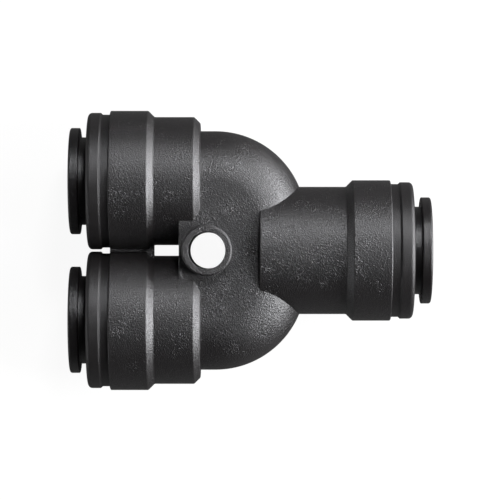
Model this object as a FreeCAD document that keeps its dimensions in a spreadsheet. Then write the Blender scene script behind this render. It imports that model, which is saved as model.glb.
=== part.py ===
"""Push-fit Y connector for 12 mm tube.

A stem port on the +X side feeds two parallel branch ports on the -X side. The origin is the
centre of the fixing hole on the mid-plane of the Y, +Y points at branch A and +Z out of the Y's
plane. Each port holds an end cap, a sliding release collet with steel grip teeth, a spacer
washer and an O-ring. All lengths are millimetres.
"""
import FreeCAD, Part
import os
import Sketcher

Vector = FreeCAD.Vector
Rotation = FreeCAD.Rotation
Placement = FreeCAD.Placement

# Every size that can be set by itself: alias, value, meaning.
DIMENSIONS = [
    ("tube_radius", 6.0, "outside radius of the tube that the ports take"),
    ("tube_clearance", 0.1, "radial room round the tube in the socket and the collet"),

    ("collar_wall", 1.7, "wall of the collars round the counterbore"),
    ("collar_length", 6.3, "length of a collar at its full radius"),
    ("branch_gap", 0.36, "room between the two branch end caps"),
    ("neck_wall", 2.37, "wall of the branch necks round the O-ring's gland"),
    ("stem_wall", 2.3, "wall of the stem barrel round the O-ring's gland"),
    ("collar_edge", 0.2, "rounding of the collar's front edge"),
    ("barrel_blend", 0.35, "rounding where collar, taper and barrel meet"),

    ("neck_end", 1.15, "hole centre to the end of the branch necks, towards -X"),
    ("neck_floor", 0.77, "tube stop to the end of a branch neck"),
    ("neck_chamfer", 1.05, "chamfer at the end of a branch neck"),
    ("stem_stop", 16.2, "hole centre to the stem's tube stop, towards +X"),
    ("stem_lead", 0.58, "bends' centreline to the flat end of the stem barrel"),
    ("shoulder_edge", 0.15, "rounding of the stem barrel's flat end"),

    ("bend_start", 1.35, "hole centre to where the branches begin to bend"),
    ("bend_wall", 3.32, "wall of the bends round the waterway"),
    ("bend_inset", 1.33, "waterway's centreline to the bends' centreline, at the crossing"),
    ("crotch_rim", 0.45, "fixing boss to the crotch's straight edge"),
    ("web_reach", 0.9, "how far the web between the branches runs past their collars"),
    ("web_root", 0.32, "how deep each side of the web is buried in its neck"),
    ("web_height", 6.0, "height of that web"),

    ("hole_radius", 3.05, "fixing hole"),
    ("boss_wall", 1.1, "wall of the fixing boss"),
    ("boss_edge", 0.3, "rounding of the boss's rims"),

    ("stop_ledge", 1.1, "height of the ledge that stops the tube"),
    ("core_step", 0.2, "how much slimmer the stem's waterway is than the branches'"),
    ("hole_wall", 1.4, "wall left between the fixing hole and the waterway"),
    ("counterbore_depth", 6.9, "collar face to the counterbore's floor"),
    ("socket_length", 4.7, "gland to the stop where the tube ends"),

    ("cap_step", 0.33, "how much slimmer the end cap's front ring is than the collar"),
    ("cap_height", 3.7, "collar face to the end cap's front"),
    ("ring_rear", 1.3, "collar face to the rear of the front ring"),
    ("cap_groove", 0.3, "depth of the groove behind the front ring"),
    ("cap_edge", 0.7, "rounding of the end cap's nose"),
    ("spigot_clearance", 0.03, "radial room round the spigot in the counterbore"),
    ("spigot_wall", 1.17, "wall of the spigot"),
    ("spigot_edge", 0.3, "rounding of the spigot's end"),
    ("throat_clearance", 0.15, "radial room round the collet's neck in the cap"),
    ("throat_length", 2.5, "end cap's front to the end of its throat"),
    ("throat_edge", 0.3, "rounding at the mouth of the throat"),
    ("cone_length", 2.0, "length of the cone that closes the fingers"),
    ("cone_rise", 1.35, "how much the cone widens over its length"),

    ("collet_gap", 1.35, "flange to end cap with the collet out"),
    ("collet_stop", 0.05, "what is left of that gap with the collet pressed in"),
    ("flange_rim", 1.55, "height of the collet's flange over its neck"),
    ("flange_thickness", 1.65, "collet's flange"),
    ("flange_edge", 0.35, "rounding of the flange's front rim"),
    ("flange_rear_edge", 0.15, "rounding of the flange's rear rim"),
    ("collet_wall", 1.2, "wall of the collet's neck"),
    ("collet_lead", 0.5, "chamfer at the mouth of the collet"),
    ("seat_gap", 0.1, "finger heads to the cap's cone, along the port"),
    ("head_clearance", 0.2, "radial room round the finger heads in the cap"),
    ("head_length", 1.0, "length of the finger heads at their full radius"),
    ("finger_taper", 0.4, "how much slimmer the finger tips are than the heads"),
    ("head_edge", 0.2, "rounding of the finger heads and tips"),
    ("finger_count", 6, "fingers to a collet"),
    ("finger_slot", 1.0, "width of the slots between the fingers"),
    ("slot_margin", 0.7, "end cap's front to the end of the slots"),

    ("tooth_bite", 0.1, "how far the teeth reach inside the tube's radius"),
    ("tooth_root", 1.9, "how far the teeth reach into the finger from its bore"),
    ("tooth_thickness", 0.35, "steel strip, along the port"),
    ("tooth_width", 2.6, "steel strip, across the finger"),
    ("tooth_lean", 1.4, "tooth's tip behind its root, along the port"),
    ("tooth_setback", 0.9, "tooth's tip to the end of the finger"),
    ("tooth_clearance", 0.04, "room round a tooth in its finger"),

    ("washer_clearance", 0.1, "radial room round the spacer washer in the counterbore"),
    ("washer_thickness", 1.0, "spacer washer"),
    ("washer_bore_clearance", 0.15, "radial room round the tube in the washer"),
    ("washer_gap", 0.1, "washer to the spigot, and to the finger tips pressed in"),
    ("washer_edge", 0.15, "rounding of the washer's rims"),
    ("o_ring_section", 2.4, "thickness of the O-ring"),
    ("o_ring_squeeze", 0.12, "how much smaller the O-ring's inner radius is than the tube's"),
    ("o_ring_clearance", 0.02, "radial room round the O-ring in its gland"),
    ("gland_play", 0.2, "length of the gland beyond the O-ring's thickness"),

    ("overcut", 1.0, "how far a cut runs past the face that it starts from"),
]

# The points of a sketch's line or arc, in the order in which its constraints number them.
START, END, CENTRE = range(1, 4)

# A sketch's own axes in the same way; its origin is the start of its X axis.
Y_AXIS, X_AXIS = range(-2, 0)


class Size:
    """A length worked out from the sheet's cells: its expression and its present value."""

    def __init__(self, text, value):
        self.text = text
        self.value = value

    def joined(self, sign, other, value):
        """This size and another, joined by a sign, with the value that they make."""
        return Size("(%s %s %s)" % (self.text, sign, other.text), value)

    def __add__(self, other):
        return self.joined("+", as_size(other), self.value + as_size(other).value)

    def __sub__(self, other):
        return self.joined("-", as_size(other), self.value - as_size(other).value)

    def __mul__(self, other):
        return self.joined("*", as_size(other), self.value * as_size(other).value)

    def __truediv__(self, other):
        return self.joined("/", as_size(other), self.value / as_size(other).value)

    def __neg__(self):
        return Size("(0 - %s)" % self.text, -self.value)


def as_size(item):
    """A plain number as a size; a size stays as it is."""
    return item if isinstance(item, Size) else Size(str(item), item)


ZERO = as_size(0)


class SizeBook:
    """The driving dimensions by name, and the lengths that follow from them.

    Lengths along a port are counted outwards from its collar face.
    """

    def __init__(self, dimensions):
        for alias, value, _ in dimensions:
            setattr(self, alias, Size("Sizes." + alias, value))

        self.socket_radius = self.tube_radius + self.tube_clearance
        self.waterway_radius = self.socket_radius - self.stop_ledge
        self.stem_waterway_radius = self.waterway_radius - self.core_step
        self.o_ring_radius = self.o_ring_section / 2
        self.o_ring_centre = self.tube_radius - self.o_ring_squeeze + self.o_ring_radius
        self.gland_radius = self.o_ring_centre + self.o_ring_radius + self.o_ring_clearance
        self.gland_length = self.o_ring_section + self.gland_play
        self.o_ring_place = self.counterbore_depth + self.gland_length / 2
        self.gland_end = self.counterbore_depth + self.gland_length
        self.tube_stop = self.gland_end + self.socket_length

        self.collet_neck_radius = self.socket_radius + self.collet_wall
        self.flange_radius = self.collet_neck_radius + self.flange_rim
        self.throat_radius = self.collet_neck_radius + self.throat_clearance
        self.chamber_radius = self.throat_radius + self.cone_rise
        self.spigot_radius = self.chamber_radius + self.spigot_wall
        self.counterbore_radius = self.spigot_radius + self.spigot_clearance
        self.washer_radius = self.counterbore_radius - self.washer_clearance
        self.collar_radius = self.counterbore_radius + self.collar_wall
        self.cap_radius = self.collar_radius - self.cap_step

        self.neck_radius = self.gland_radius + self.neck_wall
        self.stem_radius = self.gland_radius + self.stem_wall
        self.branch_taper = self.collar_radius - self.neck_radius
        self.stem_taper = self.collar_radius - self.stem_radius
        self.branch_spacing = self.cap_radius * 2 + self.branch_gap
        self.branch_y = self.branch_spacing / 2
        self.barrel_depth = self.tube_stop + self.neck_floor
        self.branch_face = self.neck_end + self.barrel_depth
        self.stem_face = self.stem_stop + self.tube_stop
        self.web_length = self.collar_length + self.web_reach
        self.web_width = self.branch_spacing - (self.neck_radius - self.web_root) * 2

        self.boss_radius = self.hole_radius + self.boss_wall
        self.boss_height = self.stem_radius * 2
        self.crotch_edge = self.boss_radius + self.crotch_rim
        self.cross_x = self.hole_radius + self.hole_wall + self.waterway_radius
        self.waterway_sweep = self.cross_x - self.bend_start
        self.waterway_centre_y = self.branch_y - self.waterway_sweep
        self.bend_radius = self.waterway_radius + self.bend_wall
        self.bend_sweep = self.waterway_sweep - self.bend_inset
        self.bend_centre_y = self.branch_y - self.bend_sweep
        self.stem_shoulder = self.bend_start + self.bend_sweep + self.stem_lead

        self.cone_mouth = self.cap_height - self.throat_length
        self.cone_floor = self.cone_mouth - self.cone_length
        self.cone_slope = self.cone_rise / self.cone_length

        self.travel = self.collet_gap - self.collet_stop
        self.washer_front = self.washer_thickness - self.counterbore_depth
        self.spigot_end = self.washer_front + self.washer_gap
        self.finger_end = self.washer_front + self.washer_gap + self.travel
        self.flange_rear = self.cap_height + self.collet_gap
        self.flange_front = self.flange_rear + self.flange_thickness
        self.head_radius = self.chamber_radius - self.head_clearance
        self.head_rise = self.head_radius - self.collet_neck_radius
        self.head_front = self.cone_mouth - self.seat_gap + self.throat_clearance / self.cone_slope
        self.head_full = self.head_front - self.head_rise / self.cone_slope
        self.slot_end = self.cap_height - self.slot_margin

        self.tooth_tip = self.finger_end + self.tooth_setback
        self.tooth_tip_radius = self.tube_radius - self.tooth_bite
        self.tooth_root_radius = self.socket_radius + self.tooth_root


size = SizeBook(DIMENSIONS)


class Port:
    """One of the three openings: its name, the centre of its collar face and its direction."""

    def __init__(self, name, x, y, turned):
        self.name = name
        self.x = x
        self.y = y
        self.turned = turned


PORTS = [
    Port("stem", size.stem_face, ZERO, 0),
    Port("branch_a", -size.branch_face, size.branch_y, 180),
    Port("branch_b", -size.branch_face, -size.branch_y, 180),
]


def fill_sheet(doc):
    """Put the driving dimensions into the document's spreadsheet."""
    sheet = doc.addObject("Spreadsheet::Sheet", "Sizes")
    for column, title in zip("ABC", ("Size", "Value", "Meaning")):
        sheet.set(column + "1", title)
    for row, (alias, value, meaning) in enumerate(DIMENSIONS, start=2):
        sheet.set("A%d" % row, alias)
        sheet.set("B%d" % row, str(value))
        sheet.set("C%d" % row, meaning)
        sheet.setAlias("B%d" % row, alias)
    doc.recompute()


def new_body(doc, label):
    """An empty body whose label names the piece."""
    body = doc.addObject("PartDesign::Body", "Body_" + label)
    body.Label = label
    return body


def place_at_port(body, port, spin=0):
    """Move a piece drawn along +X to its port, first spun about the port's axis."""
    rotation = Rotation(Vector(0, 0, 1), port.turned).multiply(Rotation(Vector(1, 0, 0), spin))
    body.Placement = Placement(Vector(port.x.value, port.y.value, 0), rotation)
    body.setExpression("Placement.Base.x", port.x.text)
    body.setExpression("Placement.Base.y", port.y.text)


def origin_feature(body, role):
    """One of the body's own origin planes or axes."""
    return next(item for item in body.Origin.OriginFeatures if item.Role == role)


def new_sketch(body, name, plane, shift=(ZERO, ZERO, ZERO), spin=0):
    """A sketch on an origin plane, moved in its own directions and spun about its own X."""
    sketch = body.newObject("Sketcher::SketchObject", name)
    sketch.AttachmentSupport = [(origin_feature(body, plane), "")]
    sketch.MapMode = "FlatFace"
    offset = Vector(*[item.value for item in shift])
    sketch.AttachmentOffset = Placement(offset, Rotation(Vector(1, 0, 0), spin))
    for letter, item in zip("xyz", shift):
        if item is not ZERO:
            sketch.setExpression("AttachmentOffset.Base." + letter, item.text)
    return sketch


def dimension(sketch, kind, elements, name, length):
    """Add a dimension to a sketch and tie it to the sheet."""
    index = sketch.addConstraint(Sketcher.Constraint(kind, *elements, length.value))
    sketch.renameConstraint(index, name)
    sketch.setExpression("Constraints." + name, length.text)


def fix_point(sketch, element, end, name, x, y):
    """Tie a point of a sketch to its two coordinates, or to the axes that it lies on."""
    for kind, axis, suffix, length in (("DistanceX", Y_AXIS, "_x", x), ("DistanceY", X_AXIS, "_y", y)):
        if length is ZERO:
            sketch.addConstraint(Sketcher.Constraint("PointOnObject", element, end, axis))
        else:
            dimension(sketch, kind, (X_AXIS, START, element, end), name + suffix, length)


def round_corner(sketch, before, after, corner, arrive, leave, name, rounding):
    """Join two lines by a tangent arc, and tie their sharp corner to its coordinates."""
    x, y = corner
    sharp = Vector(x.value, y.value, 0)
    middle = (arrive + leave) / 2
    reach = (arrive - sharp).Length
    centre = sharp + (middle - sharp) * (reach / (middle - sharp).Length) ** 2
    first, last = arrive - centre, leave - centre
    starts_at_arrive = first.cross(last).z > 0
    if not starts_at_arrive:
        first, last = last, first
    plus_x = Vector(1, 0, 0)
    angles = [plus_x.getAngle(item) * (1 if item.y >= 0 else -1) for item in (first, last)]
    circle = Part.Circle(centre, Vector(0, 0, 1), rounding.value)
    arc = sketch.addGeometry(Part.ArcOfCircle(circle, *angles))
    ends = (START, END) if starts_at_arrive else (END, START)
    sketch.addConstraint(Sketcher.Constraint("Tangent", before, END, arc, ends[0]))
    sketch.addConstraint(Sketcher.Constraint("Tangent", after, START, arc, ends[1]))
    dimension(sketch, "Radius", (arc,), name + "_r", rounding)
    point = sketch.addGeometry(Part.Point(sharp), True)
    sketch.addConstraint(Sketcher.Constraint("PointOnObject", point, START, before))
    sketch.addConstraint(Sketcher.Constraint("PointOnObject", point, START, after))
    fix_point(sketch, point, START, name, x, y)


def draw_outline(sketch, corners):
    """Draw a closed outline through corners given as (x, y) or (x, y, rounding)."""
    points = [Vector(corner[0].value, corner[1].value, 0) for corner in corners]
    count = len(points)
    arrive = []
    leave = []
    for index, corner in enumerate(corners):
        back = (points[index - 1] - points[index]).normalize()
        ahead = (points[(index + 1) % count] - points[index]).normalize()
        half_tangent = ((1 - back.dot(ahead)) / (1 + back.dot(ahead))) ** 0.5
        reach = corner[2].value / half_tangent if len(corner) == 3 else 0.0
        arrive.append(points[index] + back * reach)
        leave.append(points[index] + ahead * reach)
    lines = []
    for index in range(count):
        line = Part.LineSegment(leave[index], arrive[(index + 1) % count])
        lines.append(sketch.addGeometry(line))
    for index, corner in enumerate(corners):
        name = "corner%d" % index
        before, after = lines[index - 1], lines[index]
        if len(corner) == 3:
            round_corner(sketch, before, after, corner[:2], arrive[index], leave[index], name, corner[2])
        else:
            sketch.addConstraint(Sketcher.Constraint("Coincident", before, END, after, START))
            fix_point(sketch, after, START, name, *corner)


def draw_circle(sketch, x, y, radius):
    """Draw a circle with its centre and radius tied to the sheet."""
    circle = Part.Circle(Vector(x.value, y.value, 0), Vector(0, 0, 1), radius.value)
    element = sketch.addGeometry(circle)
    fix_point(sketch, element, CENTRE, "centre", x, y)
    dimension(sketch, "Radius", (element,), "radius", radius)


def draw_tongue(sketch, start, end, radius):
    """Draw a strip along the sketch's X axis, square at its start and round at its end."""
    low_start = Vector(start.value, -radius.value, 0)
    low_end = Vector(end.value, -radius.value, 0)
    high_end = Vector(end.value, radius.value, 0)
    high_start = Vector(start.value, radius.value, 0)
    low = sketch.addGeometry(Part.LineSegment(low_start, low_end))
    high = sketch.addGeometry(Part.LineSegment(high_end, high_start))
    back = sketch.addGeometry(Part.LineSegment(high_start, low_start))
    circle = Part.Circle(Vector(end.value, 0, 0), Vector(0, 0, 1), radius.value)
    quarter = Vector(0, 1, 0).getAngle(Vector(1, 0, 0))
    arc = sketch.addGeometry(Part.ArcOfCircle(circle, -quarter, quarter))
    for constraint in (
        Sketcher.Constraint("Tangent", low, END, arc, START),
        Sketcher.Constraint("Tangent", high, START, arc, END),
        Sketcher.Constraint("Coincident", high, END, back, START),
        Sketcher.Constraint("Coincident", back, END, low, START),
        Sketcher.Constraint("Horizontal", low),
        Sketcher.Constraint("Vertical", back),
    ):
        sketch.addConstraint(constraint)
    fix_point(sketch, arc, CENTRE, "end", end, ZERO)
    dimension(sketch, "Radius", (arc,), "radius", radius)
    if start is ZERO:
        sketch.addConstraint(Sketcher.Constraint("PointOnObject", back, START, Y_AXIS))
    else:
        dimension(sketch, "DistanceX", (X_AXIS, START, back, START), "start", start)


def extrude(body, kind, name, sketch, length, both_ways=False):
    """Pad or pocket a sketch by a length, which is the whole length when it goes both ways."""
    feature = body.newObject("PartDesign::" + kind, name)
    feature.Profile = sketch
    feature.SideType = "Symmetric" if both_ways else "One side"
    feature.Length = length.value
    feature.setExpression("Length", length.text)
    return feature


def turn(body, kind, name, sketch, axis="H_Axis", angle=360, backwards=False):
    """Revolve or groove a sketch about one of its own axes."""
    feature = body.newObject("PartDesign::" + kind, name)
    feature.Profile = sketch
    feature.ReferenceAxis = (sketch, [axis])
    feature.Angle = angle
    feature.Reversed = backwards
    return feature


def mirror_branch(body, name, features):
    """Mirror features from branch A to branch B."""
    mirrored = body.newObject("PartDesign::Mirrored", name)
    mirrored.Originals = features
    mirrored.MirrorPlane = (origin_feature(body, "XZ_Plane"), [""])
    body.Tip = mirrored
    return mirrored


def repeat_round(body, name, feature):
    """Repeat a feature for every finger, about the port's axis."""
    pattern = body.newObject("PartDesign::PolarPattern", name)
    pattern.Originals = [feature]
    pattern.Axis = (origin_feature(body, "X_Axis"), [""])
    pattern.Angle = 360
    pattern.Occurrences = size.finger_count.value
    pattern.setExpression("Occurrences", size.finger_count.text)
    body.Tip = pattern
    return pattern


def add_branch_outside(body):
    """Branch A's collar, neck and bend, mirrored for branch B."""
    face = -size.branch_face
    end = -size.neck_end
    taper_start = face + size.collar_length
    barrel_sketch = new_sketch(body, "BarrelProfile", "XY_Plane", (ZERO, size.branch_y, ZERO))
    draw_outline(barrel_sketch, [
        (face, ZERO),
        (face, size.collar_radius, size.collar_edge),
        (taper_start, size.collar_radius, size.barrel_blend),
        (taper_start + size.branch_taper, size.neck_radius, size.barrel_blend),
        (end - size.neck_chamfer, size.neck_radius, size.barrel_blend),
        (end, size.neck_radius - size.neck_chamfer, size.barrel_blend),
        (end, ZERO),
    ])
    barrel = turn(body, "Revolution", "Barrel", barrel_sketch)

    run_sketch = new_sketch(body, "RunProfile", "YZ_Plane", (ZERO, ZERO, -size.crotch_edge))
    draw_tongue(run_sketch, ZERO, size.branch_y, size.bend_radius)
    run = extrude(body, "Pad", "Run", run_sketch, size.crotch_edge + size.bend_start)

    bend_shift = (size.bend_centre_y, ZERO, size.bend_start)
    bend_sketch = new_sketch(body, "BendProfile", "YZ_Plane", bend_shift)
    draw_tongue(bend_sketch, ZERO, size.bend_sweep, size.bend_radius)
    bend = turn(body, "Revolution", "Bend", bend_sketch, "V_Axis", 90, True)
    mirror_branch(body, "BranchB", [barrel, run, bend])


def add_crotch(body):
    """The flat-topped middle, where the bends meet, and the web between the collars."""
    middle_sketch = new_sketch(body, "MiddleProfile", "XZ_Plane")
    draw_tongue(middle_sketch, size.bend_start, size.bend_start + size.bend_sweep, size.bend_radius)
    extrude(body, "Pad", "Middle", middle_sketch, size.bend_centre_y * 2, True)

    face = -size.branch_face
    half_width = size.web_width / 2
    web_sketch = new_sketch(body, "WebOutline", "XY_Plane")
    draw_outline(web_sketch, [
        (face, -half_width),
        (face + size.web_length, -half_width),
        (face + size.web_length, half_width),
        (face, half_width),
    ])
    extrude(body, "Pad", "Web", web_sketch, size.web_height, True)


def add_stem_outside(body):
    """The stem's barrel and collar."""
    face = size.stem_face
    collar_rear = face - size.collar_length
    sketch = new_sketch(body, "StemProfile", "XY_Plane")
    draw_outline(sketch, [
        (size.stem_shoulder, ZERO),
        (size.stem_shoulder, size.stem_radius, size.shoulder_edge),
        (collar_rear - size.stem_taper, size.stem_radius, size.barrel_blend),
        (collar_rear, size.collar_radius, size.barrel_blend),
        (face, size.collar_radius, size.collar_edge),
        (face, ZERO),
    ])
    turn(body, "Revolution", "Stem", sketch)


def add_boss(body):
    """The fixing boss with its rounded rims; its hole is cut last."""
    half_height = size.boss_height / 2
    sketch = new_sketch(body, "BossProfile", "XZ_Plane")
    draw_outline(sketch, [
        (ZERO, -half_height),
        (size.boss_radius, -half_height, size.boss_edge),
        (size.boss_radius, half_height, size.boss_edge),
        (ZERO, half_height),
    ])
    turn(body, "Revolution", "Boss", sketch, "V_Axis")


def draw_socket(sketch, face, inwards, waterway_end, waterway_radius):
    """Draw a port's inside: counterbore, gland, tube socket, tube stop and waterway."""
    def at(depth):
        return face + depth * inwards

    draw_outline(sketch, [
        (at(-size.overcut), ZERO),
        (at(-size.overcut), size.counterbore_radius),
        (at(size.counterbore_depth), size.counterbore_radius),
        (at(size.counterbore_depth), size.gland_radius),
        (at(size.gland_end), size.gland_radius),
        (at(size.gland_end), size.socket_radius),
        (at(size.tube_stop), size.socket_radius),
        (at(size.tube_stop), waterway_radius),
        (waterway_end, waterway_radius),
        (waterway_end, ZERO),
    ])


def cut_branch_inside(body):
    """Branch A's socket and waterway to the crossing, mirrored for branch B."""
    socket_sketch = new_sketch(body, "SocketProfile", "XY_Plane", (ZERO, size.branch_y, ZERO))
    draw_socket(socket_sketch, -size.branch_face, 1, size.bend_start, size.waterway_radius)
    socket = turn(body, "Groove", "Socket", socket_sketch)

    bend_shift = (size.waterway_centre_y, ZERO, size.bend_start)
    bend_sketch = new_sketch(body, "BendBore", "YZ_Plane", bend_shift)
    draw_circle(bend_sketch, size.waterway_sweep, ZERO, size.waterway_radius)
    bend = turn(body, "Groove", "BendWaterway", bend_sketch, "V_Axis", 90, True)
    mirror_branch(body, "BranchBInside", [socket, bend])


def cut_stem_inside(body):
    """The crossing between the bends and the stem's waterway and socket."""
    crossing_sketch = new_sketch(body, "CrossingBore", "XZ_Plane")
    draw_circle(crossing_sketch, size.cross_x, ZERO, size.waterway_radius)
    extrude(body, "Pocket", "Crossing", crossing_sketch, size.waterway_centre_y * 2, True)

    sketch = new_sketch(body, "StemSocketProfile", "XY_Plane")
    draw_socket(sketch, size.stem_face, -1, size.cross_x, size.stem_waterway_radius)
    turn(body, "Groove", "StemSocket", sketch)


def cut_fixing_hole(body):
    """The through hole in the boss."""
    sketch = new_sketch(body, "HoleOutline", "XY_Plane")
    draw_circle(sketch, ZERO, ZERO, size.hole_radius)
    extrude(body, "Pocket", "FixingHole", sketch, size.boss_height + size.overcut * 2, True)


def make_body(doc):
    """The one-piece moulding that carries everything."""
    body = new_body(doc, "body")
    add_branch_outside(body)
    add_crotch(body)
    add_stem_outside(body)
    add_boss(body)
    cut_branch_inside(body)
    cut_stem_inside(body)
    cut_fixing_hole(body)


def make_end_cap(doc, port):
    """End cap: front ring, groove, spigot in the body's counterbore, and inner cone."""
    body = new_body(doc, port.name + "_end_cap")
    front = size.cap_height
    groove_radius = size.cap_radius - size.cap_groove
    sketch = new_sketch(body, "CapProfile", "XY_Plane")
    draw_outline(sketch, [
        (front, size.throat_radius, size.throat_edge),
        (front, size.cap_radius, size.cap_edge),
        (size.ring_rear + size.cap_groove, size.cap_radius),
        (size.ring_rear, groove_radius),
        (ZERO, groove_radius),
        (ZERO, size.spigot_radius),
        (size.spigot_end, size.spigot_radius, size.spigot_edge),
        (size.spigot_end, size.chamber_radius),
        (size.cone_floor, size.chamber_radius),
        (size.cone_mouth, size.throat_radius),
    ])
    turn(body, "Revolution", "Cap", sketch)
    place_at_port(body, port)


def draw_tooth(sketch, room):
    """Draw a tooth's leaning section, or with some room round it, its pocket."""
    tip = size.tooth_tip
    root = size.tooth_tip + size.tooth_lean
    root_radius = size.tooth_root_radius + room
    draw_outline(sketch, [
        (tip - room, size.tooth_tip_radius),
        (tip + size.tooth_thickness + room, size.tooth_tip_radius),
        (root + size.tooth_thickness + room, root_radius),
        (root - room, root_radius),
    ])


def make_collet(doc, port):
    """Release collet: flange, neck and slotted fingers with heads that bear on the cone."""
    body = new_body(doc, port.name + "_collet")
    bore = size.socket_radius
    head_rear = size.head_full - size.head_length
    sketch = new_sketch(body, "ColletProfile", "XY_Plane")
    draw_outline(sketch, [
        (size.flange_front, bore + size.collet_lead),
        (size.flange_front, size.flange_radius, size.flange_edge),
        (size.flange_rear, size.flange_radius, size.flange_rear_edge),
        (size.flange_rear, size.collet_neck_radius),
        (size.head_front, size.collet_neck_radius),
        (size.head_full, size.head_radius, size.head_edge),
        (head_rear, size.head_radius, size.head_edge),
        (size.finger_end, size.head_radius - size.finger_taper, size.head_edge),
        (size.finger_end, bore),
        (size.flange_front - size.collet_lead, bore),
    ])
    turn(body, "Revolution", "Shell", sketch)

    half_pitch = 180 / size.finger_count.value
    slot_sketch = new_sketch(body, "SlotOutline", "XY_Plane", spin=half_pitch)
    inner_end = size.finger_end - size.overcut
    outside = size.head_radius + size.overcut
    draw_outline(slot_sketch, [
        (inner_end, size.waterway_radius),
        (size.slot_end, size.waterway_radius),
        (size.slot_end, outside),
        (inner_end, outside),
    ])
    slot = extrude(body, "Pocket", "Slot", slot_sketch, size.finger_slot, True)
    repeat_round(body, "Slots", slot)

    pocket_sketch = new_sketch(body, "ToothPocketOutline", "XY_Plane")
    draw_tooth(pocket_sketch, size.tooth_clearance)
    pocket_width = size.tooth_width + size.tooth_clearance * 2
    pocket = extrude(body, "Pocket", "ToothPocket", pocket_sketch, pocket_width, True)
    repeat_round(body, "ToothPockets", pocket)
    place_at_port(body, port)


def make_tooth(doc, port, number):
    """One stainless steel strip that leans inwards and bites the tube."""
    body = new_body(doc, "%s_grip_tooth_%d" % (port.name, number))
    sketch = new_sketch(body, "ToothProfile", "XY_Plane")
    draw_tooth(sketch, ZERO)
    extrude(body, "Pad", "Strip", sketch, size.tooth_width, True)
    place_at_port(body, port, 360 * (number - 1) / size.finger_count.value)


def make_washer(doc, port):
    """Spacer washer on the counterbore's floor, between the end cap and the O-ring."""
    body = new_body(doc, port.name + "_spacer_washer")
    bore = size.tube_radius + size.washer_bore_clearance
    floor = -size.counterbore_depth
    sketch = new_sketch(body, "WasherProfile", "XY_Plane")
    draw_outline(sketch, [
        (floor, bore, size.washer_edge),
        (floor, size.washer_radius, size.washer_edge),
        (size.washer_front, size.washer_radius, size.washer_edge),
        (size.washer_front, bore, size.washer_edge),
    ])
    turn(body, "Revolution", "Washer", sketch)
    place_at_port(body, port)


def make_o_ring(doc, port):
    """O-ring in its gland."""
    body = new_body(doc, port.name + "_o_ring")
    sketch = new_sketch(body, "RingSection", "XY_Plane")
    draw_circle(sketch, -size.o_ring_place, size.o_ring_centre, size.o_ring_radius)
    turn(body, "Revolution", "Ring", sketch)
    place_at_port(body, port)


def check_document(doc):
    """Stop if a feature failed or a piece has no valid shape."""
    for item in doc.Objects:
        if "Invalid" in item.State or "Error" in item.State:
            raise RuntimeError("%s (%s) failed: %s" % (item.Name, item.Label, item.State))
    for body in pieces(doc):
        if body.Shape.isNull() or not body.Shape.isValid():
            raise RuntimeError(body.Label + " has no valid shape")
        if len(body.Shape.Solids) != 1:
            raise RuntimeError("%s has %d solids" % (body.Label, len(body.Shape.Solids)))


def pieces(doc):
    """Every piece of the assembly."""
    return [item for item in doc.Objects if item.TypeId == "PartDesign::Body"]


def main():
    doc = FreeCAD.newDocument("YConnector")
    fill_sheet(doc)
    make_body(doc)
    for port in PORTS:
        make_end_cap(doc, port)
        make_collet(doc, port)
        make_washer(doc, port)
        make_o_ring(doc, port)
        for number in range(1, size.finger_count.value + 1):
            make_tooth(doc, port, number)
    doc.recompute()
    check_document(doc)
    os.makedirs("parts", exist_ok=True)
    for body in pieces(doc):
        body.Shape.exportStep("parts/%s.step" % body.Label)


main()
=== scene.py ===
"""Finishes and studio for the push-fit Y connector.

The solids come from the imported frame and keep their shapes. Each operator gives one kind of
piece its finish, the stage operator sets the floor, the lamps and the camera, and the panel
lists them all. Lengths are metres, in the frame's own axes: +X runs out of the stem port, +Y
points at branch A and +Z out of the Y's plane. Marks on a surface are sized in millimetres.
"""
import math

import bmesh
import bpy
from mathutils import Euler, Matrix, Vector


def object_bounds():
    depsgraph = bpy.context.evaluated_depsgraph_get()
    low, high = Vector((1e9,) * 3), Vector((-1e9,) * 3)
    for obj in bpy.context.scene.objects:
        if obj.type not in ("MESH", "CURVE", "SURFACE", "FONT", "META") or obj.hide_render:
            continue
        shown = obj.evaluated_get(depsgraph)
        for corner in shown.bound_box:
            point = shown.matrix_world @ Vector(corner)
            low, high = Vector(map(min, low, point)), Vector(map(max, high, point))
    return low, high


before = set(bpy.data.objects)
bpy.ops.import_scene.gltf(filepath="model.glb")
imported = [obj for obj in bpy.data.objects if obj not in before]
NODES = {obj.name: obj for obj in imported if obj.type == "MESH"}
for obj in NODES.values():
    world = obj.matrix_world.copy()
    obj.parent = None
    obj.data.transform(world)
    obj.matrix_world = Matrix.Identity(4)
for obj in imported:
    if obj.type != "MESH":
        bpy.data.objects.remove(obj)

bl_info = {
    "name": "Y connector",
    "version": (1, 0, 0),
    "blender": (4, 5, 0),
    "location": "3D View > Sidebar > Y connector",
    "description": "Finishes the moulded Y connector and sets its studio",
    "category": "Object",
}

MM = 0.001
LOADED_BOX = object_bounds()
PORTS = ("stem", "branch_a", "branch_b")
TEETH_PER_PORT = 6

# The sockets of a Mix node that take and give colours.
MIX_FACTOR, MIX_FIRST, MIX_SECOND, MIX_RESULT = 0, 6, 7, 2

# How dark and how light the black mouldings get, as multiples of their colour.
BLACK_TONES = (0.8, 1.5)

# A noise's middle value, about which it varies.
MIDDLE = 0.5

# How far the softened direction leans off the face where an edge begins and at its full.
EDGE_LEAN = (0.01, 0.2)

# The parting line's edge and its full height, in millimetres from the Y's middle plane.
SEAM_BAND = (0.07, 0.02)

# The rolling marks on the teeth are this many times as fine along each axis.
ROLLED_FINENESS = (12.0, 12.0, 0.6)

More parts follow.
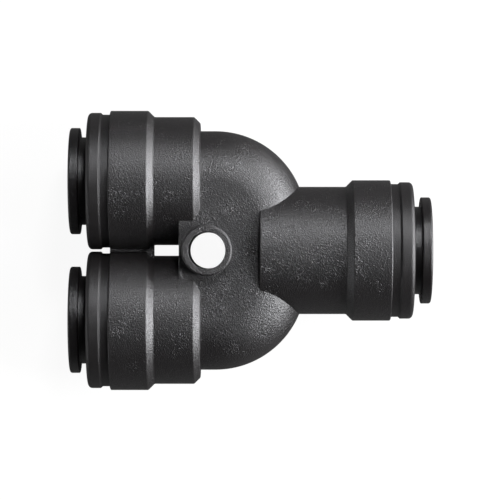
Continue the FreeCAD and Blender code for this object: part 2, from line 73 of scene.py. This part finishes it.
# Every lamp's name, azimuth and elevation in degrees, and width and height in metres.
LAMPS = (
    ("key", 74, 51, 0.11, 0.09),
    ("stem", -5, 39, 0.2, 0.3),
    ("low", 9, 10.5, 0.9, 0.22),
    ("back", 190, 8, 1.1, 0.17),
)
LAMP_DISTANCE = 0.6

FLOOR_HALF = 2.0
WHITE = (1.0, 1.0, 1.0, 1.0)
PHOTO_MIDDLE = (7.08 * MM, 0.075 * MM)
SENSOR_WIDTH = 36.0
NEAREST_SEEN, FURTHEST_SEEN = 0.01, 20.0


class Amount:
    """A number that changes over a surface, written into sums as a plain Python value."""

    def __init__(self, finish, socket):
        self.finish = finish
        self.socket = socket

    def joined(self, operation, first, second):
        node = self.finish.add("ShaderNodeMath", {"operation": operation}, {0: first, 1: second})
        return Amount(self.finish, node.outputs[0])

    def __add__(self, other):
        return self.joined("ADD", self, other)

    def __radd__(self, other):
        return self.joined("ADD", other, self)

    def __sub__(self, other):
        return self.joined("SUBTRACT", self, other)

    def __rsub__(self, other):
        return self.joined("SUBTRACT", other, self)

    def __mul__(self, other):
        return self.joined("MULTIPLY", self, other)

    def __rmul__(self, other):
        return self.joined("MULTIPLY", other, self)

    def __abs__(self):
        return self.joined("ABSOLUTE", self, 0.0)


class Finish:
    """The nodes of one material or of the world, built one at a time."""

    def __init__(self, owner):
        owner.use_nodes = True
        self.owner = owner
        self.nodes = owner.node_tree.nodes
        self.links = owner.node_tree.links
        self.nodes.clear()

    def add(self, kind, settings=None, sockets=None):
        """A node of a kind: its settings first, then the values or links of its sockets."""
        node = self.nodes.new(kind)
        for name, value in (settings or {}).items():
            setattr(node, name, value)
        for name, value in (sockets or {}).items():
            if isinstance(value, Amount):
                value = value.socket
            if isinstance(value, bpy.types.NodeSocket):
                self.links.new(value, node.inputs[name])
            else:
                node.inputs[name].default_value = value
        return node

    def amount(self, node, output):
        return Amount(self, node.outputs[output])

    def vector_maths(self, operation, sockets):
        return self.add("ShaderNodeVectorMath", {"operation": operation}, sockets)

    def place(self):
        """The surface's own place in millimetres, which rides with the piece."""
        coordinates = self.add("ShaderNodeTexCoord").outputs["Object"]
        return self.vector_maths("SCALE", {0: coordinates, "Scale": 1 / MM}).outputs[0]

    def stretched(self, place, factors):
        """The place multiplied along each axis, for marks that run one way."""
        return self.vector_maths("MULTIPLY", {0: place, 1: factors}).outputs[0]

    def height(self, place):
        """How far a place is above the Y's middle plane."""
        return self.amount(self.add("ShaderNodeSeparateXYZ", None, {0: place}), "Z")

    def noise(self, place, width, detail=2.0, rough=0.5):
        """Soft random variation from 0 to 1, with marks about that many millimetres wide."""
        sockets = {"Vector": place, "Scale": 1 / width, "Detail": detail, "Roughness": rough}
        return self.amount(self.add("ShaderNodeTexNoise", None, sockets), 0)

    def cells(self, place, width):
        """Distance to the nearest of scattered points, about that many millimetres apart."""
        sockets = {"Vector": place, "Scale": 1 / width, "Smoothness": 0.6}
        node = self.add("ShaderNodeTexVoronoi", {"feature": "SMOOTH_F1"}, sockets)
        return self.amount(node, "Distance")

    def between(self, amount, low, high):
        """An amount spread so that low becomes 0 and high becomes 1, and held there."""
        sockets = {"Value": amount, "From Min": low, "From Max": high}
        return self.amount(self.add("ShaderNodeMapRange", {"clamp": True}, sockets), 0)

    def toned(self, factor, colour, darkest, lightest):
        """A colour going from its darkest to its lightest multiple as the factor rises."""
        node = self.add("ShaderNodeMix", {"data_type": "RGBA"}, {
            MIX_FACTOR: factor,
            MIX_FIRST: opaque(colour, darkest),
            MIX_SECOND: opaque(colour, lightest),
        })
        return node.outputs[MIX_RESULT]

    def softened(self, radius):
        """The surface's direction with its sharp edges and creases softened."""
        return self.add("ShaderNodeBevel", {"samples": 6}, {"Radius": radius}).outputs[0]

    def edge_share(self, softened):
        """How much of an edge a place is, from 0 on a flat to 1 on a sharp rim."""
        straight = self.add("ShaderNodeNewGeometry").outputs["Normal"]
        dot = self.vector_maths("DOT_PRODUCT", {0: softened, 1: straight})
        return self.between(1 - self.amount(dot, "Value"), *EDGE_LEAN)

    def raised(self, height, depth, softened=None):
        """The direction of a surface whose marks stand as high as the depth."""
        sockets = {"Strength": 1.0, "Distance": depth, "Height": height}
        if softened:
            sockets["Normal"] = softened
        return self.add("ShaderNodeBump", None, sockets).outputs[0]

    def surface(self, sockets):
        """End the material in one surface shader."""
        shader = self.add("ShaderNodeBsdfPrincipled", None, sockets)
        self.add("ShaderNodeOutputMaterial", None, {"Surface": shader.outputs[0]})
        return self.owner


def new_finish(name):
    return Finish(bpy.data.materials.new(name))


def opaque(colour, lighten=1.0):
    """A colour made lighter or darker, with the full alpha that a socket wants."""
    return tuple(part * lighten for part in colour) + (1.0,)


def skin(gloss, tint):
    """How a plastic's skin throws light back; a gloss of 0.5 is plain glass."""
    return {"Specular IOR Level": gloss, "Specular Tint": opaque(tint)}


def colour_property(name, description, default):
    return bpy.props.FloatVectorProperty(
        name=name, description=description, default=default, size=3, subtype="COLOR", min=0, max=1
    )


def length_property(name, description, default):
    return bpy.props.FloatProperty(
        name=name, description=description, default=default, min=0, precision=6, unit="LENGTH"
    )


def share_property(name, description, default):
    return bpy.props.FloatProperty(
        name=name, description=description, default=default, min=0, max=1, subtype="FACTOR"
    )


def power_property(name, description, default):
    return bpy.props.FloatProperty(
        name=name, description=description, default=default, min=0, unit="POWER"
    )


class PlasticSettings(bpy.types.PropertyGroup):
    """The black mouldings: body, end caps and collets."""

    body_colour: colour_property(
        "Body", "Colour of the body's plastic", (0.0085, 0.0072, 0.0075)
    )
    body_roughness: share_property("Body roughness", "How matt the body is", 0.38)
    body_gloss: share_property("Body gloss", "How much light the body's skin throws back", 1.0)
    grain_size: length_property("Grain", "Width of the spark-eroded grain's marks", 0.00022)
    grain_depth: length_property("Grain depth", "Height of the spark-eroded grain", 0.0001)
    cap_colour: colour_property(
        "Caps", "Colour of the end caps", (0.0079, 0.0067, 0.007)
    )
    cap_roughness: share_property("Cap roughness", "How matt the end caps are", 0.42)
    cap_gloss: share_property("Cap gloss", "How much light the end caps' skin throws back", 0.8)
    collet_colour: colour_property(
        "Collets", "Colour of the release collets", (0.0074, 0.0062, 0.0065)
    )
    collet_roughness: share_property("Collet roughness", "How matt the collets are", 0.33)
    collet_gloss: share_property(
        "Collet gloss", "How much light the collets' skin throws back", 0.75
    )
    skin_tint: colour_property(
        "Skin tint", "Cool cast of the light that the skins throw back", (0.96, 0.97, 1.0)
    )
    edge_softening: length_property("Edges", "Rounding that the finish gives to edges", 0.00015)


class InnerSettings(bpy.types.PropertyGroup):
    """The pieces inside the ports."""

    washer_colour: colour_property("Washers", "Colour of the spacer washers", (0.06, 0.06, 0.06))
    rubber_colour: colour_property("O-rings", "Colour of the seal rubber", (0.018, 0.018, 0.018))
    steel_colour: colour_property("Teeth", "Colour of the stainless steel", (0.62, 0.61, 0.59))


class StageSettings(bpy.types.PropertyGroup):
    """Floor, lamps and camera."""

    floor_colour: colour_property("Floor", "Colour of the floor", (0.1, 0.1, 0.1))
    floor_glow: share_property(
        "Floor glow", "White that the camera sees on the floor by itself", 0.93
    )
    floor_gloss: share_property("Floor in gloss", "White of the floor that gloss shows", 0.03)
    ambient: share_property("Ambient", "Even light from all round", 0.03)
    key_power: power_property("Key lamp", "Soft lamp above branch A", 1.74)
    stem_power: power_property("Stem lamp", "Soft lamp above the stem port", 3.12)
    low_power: power_property("Low lamp", "Wide soft lamp beyond the stem, low down", 9.5)
    back_power: power_property("Back lamp", "Large faint lamp beyond the branch ports", 1.4)
    lens: bpy.props.FloatProperty(
        name="Lens", description="Focal length of the camera", default=208.8, min=1, unit="CAMERA"
    )
    camera_height: length_property("Camera height", "Camera above the middle of the part", 0.4833)


class ConnectorSettings(bpy.types.PropertyGroup):
    """All the settings of the connector's scene."""

    plastic: bpy.props.PointerProperty(type=PlasticSettings)
    inner: bpy.props.PointerProperty(type=InnerSettings)
    stage: bpy.props.PointerProperty(type=StageSettings)


def dress(names, material):
    """Give CAD nodes a material in place of their plain one."""
    for name in names:
        for slot in NODES[name].material_slots:
            slot.material = material


def port_nodes(suffix):
    return ["%s_%s" % (port, suffix) for port in PORTS]


def add_lamp(name, azimuth, elevation, width, height, power):
    """A rectangular soft lamp that points at the part, its azimuth counted from +X to +Y."""
    turn = Euler((0.0, -math.radians(elevation), math.radians(azimuth)))
    towards = turn.to_matrix() @ Vector((1, 0, 0))
    light = bpy.data.lights.new(name, "AREA")
    light.shape = "RECTANGLE"
    light.size = width
    light.size_y = height
    light.energy = power
    lamp = bpy.data.objects.new(name, light)
    bpy.context.scene.collection.objects.link(lamp)
    lamp.location = towards * LAMP_DISTANCE
    lamp.rotation_euler = (-towards).to_track_quat("-Z", "Y").to_euler()
    lamp.visible_camera = False


class YCONNECTOR_OT_body_finish(bpy.types.Operator):
    """Gives the body its spark-eroded black plastic"""

    bl_idname = "y_connector.body_finish"
    bl_label = "Body finish"

    def execute(self, context):
        choice = context.scene.y_connector.plastic
        finish = new_finish("spark_eroded_body")
        place = finish.place()
        grain = choice.grain_size / MM
        pits = finish.cells(place, width=grain)
        fuzz = finish.noise(place, width=grain * 0.7, detail=3.0, rough=0.6)
        cloud = finish.noise(place, width=3.0, detail=3.0, rough=0.6)
        worn = finish.between(cloud, low=0.3, high=0.72)
        dots = finish.noise(place, width=grain * 1.2, detail=2.0, rough=0.7)
        specks = worn * finish.between(dots, low=0.5, high=0.75)
        seam = finish.between(abs(finish.height(place)), *SEAM_BAND)
        soft = finish.softened(choice.edge_softening)
        edge = finish.edge_share(soft)
        # Base colour tone: random over the surface, and lighter along edges and creases, which is
        # a painted edge highlight.
        tone_and_edge_highlight = 0.35 * cloud + 0.3 * fuzz + 0.35 * edge
        wear = 0.14 * (MIDDLE - worn) - 0.12 * specks - 0.08 * edge
        relief = 0.35 * pits + 0.45 * fuzz + 0.7 * specks + 1.5 * seam
        dress(["body"], finish.surface({
            "Base Color": finish.toned(tone_and_edge_highlight, choice.body_colour, *BLACK_TONES),
            "Roughness": choice.body_roughness + wear + 0.1 * (fuzz - MIDDLE),
            "Normal": finish.raised(relief, choice.grain_depth, soft),
            **skin(choice.body_gloss, choice.skin_tint),
        }))
        return {"FINISHED"}


class YCONNECTOR_OT_cap_finish(bpy.types.Operator):
    """Gives the end caps their finer-grained black plastic"""

    bl_idname = "y_connector.cap_finish"
    bl_label = "End cap finish"

    def execute(self, context):
        choice = context.scene.y_connector.plastic
        finish = new_finish("end_cap_plastic")
        place = finish.place()
        fuzz = finish.noise(place, width=0.16, detail=3.0, rough=0.6)
        cloud = finish.noise(place, width=3.0, detail=3.0)
        soft = finish.softened(choice.edge_softening)
        edge = finish.edge_share(soft)
        # Base colour tone: random over the surface, and lighter along edges and creases, which is
        # a painted edge highlight.
        tone_and_edge_highlight = 0.4 * cloud + 0.25 * fuzz + 0.35 * edge
        wear = 0.12 * (cloud - MIDDLE) + 0.08 * (fuzz - MIDDLE) - 0.06 * edge
        dress(port_nodes("end_cap"), finish.surface({
            "Base Color": finish.toned(tone_and_edge_highlight, choice.cap_colour, *BLACK_TONES),
            "Roughness": choice.cap_roughness + wear,
            "Normal": finish.raised(fuzz, choice.grain_depth * 0.6, soft),
            **skin(choice.cap_gloss, choice.skin_tint),
        }))
        return {"FINISHED"}


class YCONNECTOR_OT_collet_finish(bpy.types.Operator):
    """Gives the release collets their smoother plastic with a little thumb polish"""

    bl_idname = "y_connector.collet_finish"
    bl_label = "Collet finish"

    def execute(self, context):
        choice = context.scene.y_connector.plastic
        finish = new_finish("release_collet_plastic")
        place = finish.place()
        fuzz = finish.noise(place, width=0.14, detail=3.0, rough=0.6)
        cloud = finish.noise(place, width=2.5, detail=3.0)
        soft = finish.softened(choice.edge_softening)
        edge = finish.edge_share(soft)
        # Base colour tone: random over the surface, and lighter along edges and creases, which is
        # a painted edge highlight.
        tone_and_edge_highlight = 0.4 * cloud + 0.2 * fuzz + 0.4 * edge
        polish = 0.14 * (cloud - MIDDLE) + 0.06 * (fuzz - MIDDLE) - 0.08 * edge
        dress(port_nodes("collet"), finish.surface({
            "Base Color": finish.toned(tone_and_edge_highlight, choice.collet_colour, *BLACK_TONES),
            "Roughness": choice.collet_roughness + polish,
            "Normal": finish.raised(fuzz, choice.grain_depth * 0.5, soft),
            **skin(choice.collet_gloss, choice.skin_tint),
        }))
        return {"FINISHED"}


class YCONNECTOR_OT_washer_finish(bpy.types.Operator):
    """Gives the spacer washers their plain dark plastic"""

    bl_idname = "y_connector.washer_finish"
    bl_label = "Spacer washer finish"

    def execute(self, context):
        choice = context.scene.y_connector
        finish = new_finish("spacer_washer_plastic")
        place = finish.place()
        fuzz = finish.noise(place, width=0.2, detail=3.0, rough=0.6)
        soft = finish.softened(choice.plastic.edge_softening)
        dress(port_nodes("spacer_washer"), finish.surface({
            "Base Color": finish.toned(fuzz, choice.inner.washer_colour, 0.85, 1.2),
            "Roughness": 0.45 + 0.15 * (fuzz - MIDDLE),
            "Normal": finish.raised(fuzz, choice.plastic.grain_depth * 0.5, soft),
        }))
        return {"FINISHED"}


class YCONNECTOR_OT_o_ring_finish(bpy.types.Operator):
    """Gives the O-rings their greased rubber"""

    bl_idname = "y_connector.o_ring_finish"
    bl_label = "O-ring finish"

    def execute(self, context):
        choice = context.scene.y_connector
        finish = new_finish("o_ring_rubber")
        place = finish.place()
        fuzz = finish.noise(place, width=0.1, detail=4.0, rough=0.7)
        grease = finish.between(finish.noise(place, width=1.6, detail=3.0), low=0.4, high=0.65)
        dress(port_nodes("o_ring"), finish.surface({
            "Base Color": finish.toned(fuzz, choice.inner.rubber_colour, 0.8, 1.4),
            "Roughness": 0.62 - 0.3 * grease + 0.1 * (fuzz - MIDDLE),
            "Normal": finish.raised(fuzz, choice.plastic.grain_depth * 0.4),
        }))
        return {"FINISHED"}


class YCONNECTOR_OT_tooth_finish(bpy.types.Operator):
    """Gives the grip teeth their rolled stainless steel"""

    bl_idname = "y_connector.tooth_finish"
    bl_label = "Grip tooth finish"

    def execute(self, context):
        choice = context.scene.y_connector
        finish = new_finish("grip_tooth_steel")
        place = finish.place()
        rolled = finish.noise(finish.stretched(place, ROLLED_FINENESS), width=1.0, detail=3.0)
        tarnish = finish.noise(place, width=0.8, detail=3.0)
        numbers = range(1, TEETH_PER_PORT + 1)
        names = [name for number in numbers for name in port_nodes("grip_tooth_%d" % number)]
        dress(names, finish.surface({
            "Base Color": finish.toned(tarnish, choice.inner.steel_colour, 0.8, 1.05),
            "Metallic": 1.0,
            "Roughness": 0.28 + 0.2 * (rolled - MIDDLE) + 0.1 * (tarnish - MIDDLE),
            "Normal": finish.raised(rolled, choice.plastic.grain_depth * 0.15),
        }))
        return {"FINISHED"}


class YCONNECTOR_OT_stage(bpy.types.Operator):
    """Sets the pale floor, the soft lamps, the even light and the camera"""

    bl_idname = "y_connector.stage"
    bl_label = "Stage"

    def add_floor(self, choice):
        """A floor that is white to the camera and keeps the part's shadow."""
        mesh = bpy.data.meshes.new("floor")
        shape = bmesh.new()
        bmesh.ops.create_grid(shape, x_segments=1, y_segments=1, size=FLOOR_HALF)
        shape.to_mesh(mesh)
        shape.free()
        floor = bpy.data.objects.new("floor", mesh)
        bpy.context.scene.collection.objects.link(floor)
        lowest = LOADED_BOX[0]
        floor.location = (0.0, 0.0, lowest.z)

        finish = new_finish("pale_floor")
        ray = finish.add("ShaderNodeLightPath")
        seen = finish.amount(ray, "Is Camera Ray") + finish.amount(ray, "Is Transmission Ray")
        mirrored = finish.amount(ray, "Is Glossy Ray")
        paint = finish.add("ShaderNodeBsdfDiffuse", None, {"Color": opaque(choice.floor_colour)})
        glow = finish.add("ShaderNodeEmission", None, {
            "Color": WHITE,
            "Strength": choice.floor_glow * seen + choice.floor_gloss * mirrored,
        })
        both = finish.add("ShaderNodeAddShader", None, {0: paint.outputs[0], 1: glow.outputs[0]})
        finish.add("ShaderNodeOutputMaterial", None, {"Surface": both.outputs[0]})
        mesh.materials.append(finish.owner)

    def add_world(self, choice):
        """Faint even light, with white behind it for the camera."""
        world = bpy.data.worlds.new("studio")
        bpy.context.scene.world = world
        finish = Finish(world)
        camera = finish.amount(finish.add("ShaderNodeLightPath"), "Is Camera Ray")
        sky = finish.add("ShaderNodeBackground", None, {
            "Color": WHITE,
            "Strength": choice.ambient + (1.0 - choice.ambient) * camera,
        })
        finish.add("ShaderNodeOutputWorld", None, {"Surface": sky.outputs[0]})

    def add_camera(self, choice):
        """A camera straight above the part, as in the photograph."""
        data = bpy.data.cameras.new("camera")
        data.lens = choice.lens
        data.sensor_width = SENSOR_WIDTH
        data.clip_start = NEAREST_SEEN
        data.clip_end = FURTHEST_SEEN
        camera = bpy.data.objects.new("camera", data)
        bpy.context.scene.collection.objects.link(camera)
        camera.location = (*PHOTO_MIDDLE, choice.camera_height)
        bpy.context.scene.camera = camera

    def execute(self, context):
        choice = context.scene.y_connector.stage
        context.scene.view_settings.view_transform = "Standard"
        self.add_floor(choice)
        self.add_world(choice)
        for name, *lamp in LAMPS:
            add_lamp(name + "_lamp", *lamp, getattr(choice, name + "_power"))
        self.add_camera(choice)
        return {"FINISHED"}


OPERATORS = (
    YCONNECTOR_OT_stage,
    YCONNECTOR_OT_body_finish,
    YCONNECTOR_OT_cap_finish,
    YCONNECTOR_OT_collet_finish,
    YCONNECTOR_OT_washer_finish,
    YCONNECTOR_OT_o_ring_finish,
    YCONNECTOR_OT_tooth_finish,
)


class YCONNECTOR_PT_sidebar(bpy.types.Panel):
    """The connector's settings and steps"""

    bl_idname = "YCONNECTOR_PT_sidebar"
    bl_label = "Y connector"
    bl_space_type = "VIEW_3D"
    bl_region_type = "UI"
    bl_category = "Y connector"

    def draw(self, context):
        settings = context.scene.y_connector
        for group in (settings.plastic, settings.inner, settings.stage):
            box = self.layout.box()
            for name in group.__annotations__:
                box.prop(group, name)
        for operator in OPERATORS:
            self.layout.operator(operator.bl_idname)


GROUPS = (PlasticSettings, InnerSettings, StageSettings, ConnectorSettings)


def register():
    for kind in GROUPS + OPERATORS + (YCONNECTOR_PT_sidebar,):
        bpy.utils.register_class(kind)
    bpy.types.Scene.y_connector = bpy.props.PointerProperty(type=ConnectorSettings)


def unregister():
    del bpy.types.Scene.y_connector
    for kind in reversed(GROUPS + OPERATORS + (YCONNECTOR_PT_sidebar,)):
        bpy.utils.unregister_class(kind)


def main():
    register()
    bpy.ops.y_connector.stage()
    bpy.ops.y_connector.body_finish()
    bpy.ops.y_connector.cap_finish()
    bpy.ops.y_connector.collet_finish()
    bpy.ops.y_connector.washer_finish()
    bpy.ops.y_connector.o_ring_finish()
    bpy.ops.y_connector.tooth_finish()


if __name__ == "__main__":
    main()
